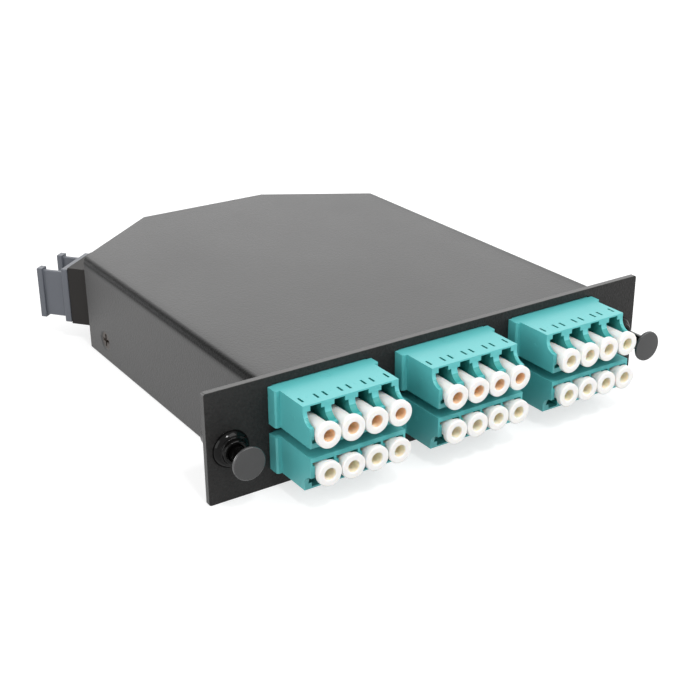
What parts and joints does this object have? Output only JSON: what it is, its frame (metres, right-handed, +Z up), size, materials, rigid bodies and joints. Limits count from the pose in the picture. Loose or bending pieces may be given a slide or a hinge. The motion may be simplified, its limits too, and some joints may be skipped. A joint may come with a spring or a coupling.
{
  "type": "fibre cassette",
  "caption": "Flat black steel fibre cassette: a narrow front panel with two rows of aqua multi-port adapters holding white dust plugs, push-pull latches and a rear multi-fibre socket.",
  "frame": {"origin": "middle of the line between the two latches, on the front panel's rear face", "axes": "+X to the right seen from the front, +Y from the front panel towards the back of the box, +Z up"},
  "size_m": [0.1296, 0.142, 0.028],
  "materials": {
    "powder_black": "satin powder coat",
    "screw_black": "black zinc",
    "mount_black": "satin powder coat",
    "adapter_aqua": "satin moulded",
    "adapter_grey": "satin moulded",
    "plug_white": "soft moulded",
    "inner_connector": "satin moulded",
    "latch_black": "polished",
    "latch_grey": "satin moulded",
    "spring_steel": "rolled strip"
  },
  "bodies": {
    "cassette": {"adapter_clip_lower_left": "spring_steel", "adapter_clip_lower_middle": "spring_steel", "adapter_clip_lower_right": "spring_steel", "adapter_clip_upper_left": "spring_steel", "adapter_clip_upper_middle": "spring_steel", "adapter_clip_upper_right": "spring_steel", "adapter_lower_left": "adapter_aqua", "adapter_lower_middle": "adapter_aqua", "adapter_lower_right": "adapter_aqua", "adapter_upper_left": "adapter_aqua", "adapter_upper_middle": "adapter_aqua", "adapter_upper_right": "adapter_aqua", "base_tray": "powder_black", "cover": "powder_black", "cover_screws": "screw_black", "dust_plug_lower_left_1": "plug_white", "dust_plug_lower_left_2": "plug_white", "dust_plug_lower_left_3": "plug_white", "dust_plug_lower_left_4": "plug_white", "dust_plug_lower_middle_1": "plug_white", "dust_plug_lower_middle_2": "plug_white", "dust_plug_lower_middle_3": "plug_white", "dust_plug_lower_middle_4": "plug_white", "dust_plug_lower_right_1": "plug_white", "dust_plug_lower_right_2": "plug_white", "dust_plug_lower_right_3": "plug_white", "dust_plug_lower_right_4": "plug_white", "dust_plug_upper_left_1": "plug_white", "dust_plug_upper_left_2": "plug_white", "dust_plug_upper_left_3": "plug_white", "dust_plug_upper_left_4": "plug_white", "dust_plug_upper_middle_1": "plug_white", "dust_plug_upper_middle_2": "plug_white", "dust_plug_upper_middle_3": "plug_white", "dust_plug_upper_middle_4": "plug_white", "dust_plug_upper_right_1": "plug_white", "dust_plug_upper_right_2": "plug_white", "dust_plug_upper_right_3": "plug_white", "dust_plug_upper_right_4": "plug_white", "front_panel": "powder_black", "inner_multi_fibre_plug": "inner_connector", "inner_plugs_lower_left": "inner_connector", "inner_plugs_lower_middle": "inner_connector", "inner_plugs_lower_right": "inner_connector", "inner_plugs_upper_left": "inner_connector", "inner_plugs_upper_middle": "inner_connector", "inner_plugs_upper_right": "inner_connector", "latch_grommets": "latch_black", "rear_adapter": "adapter_grey", "rear_adapter_mount": "mount_black"},
    "left_plunger": {"latch_plunger_left": "latch_grey"},
    "right_plunger": {"latch_plunger_right": "latch_grey"}
  },
  "joints": [
    {"name": "left_latch_push", "type": "slide", "parent": "cassette", "child": "left_plunger", "axis": [0, 1, 0], "range_m": [-0.003, 0.0045]},
    {"name": "right_latch_push", "type": "slide", "parent": "cassette", "child": "right_plunger", "axis": [0, 1, 0], "range_m": [0, 0.0075]}
  ]
}
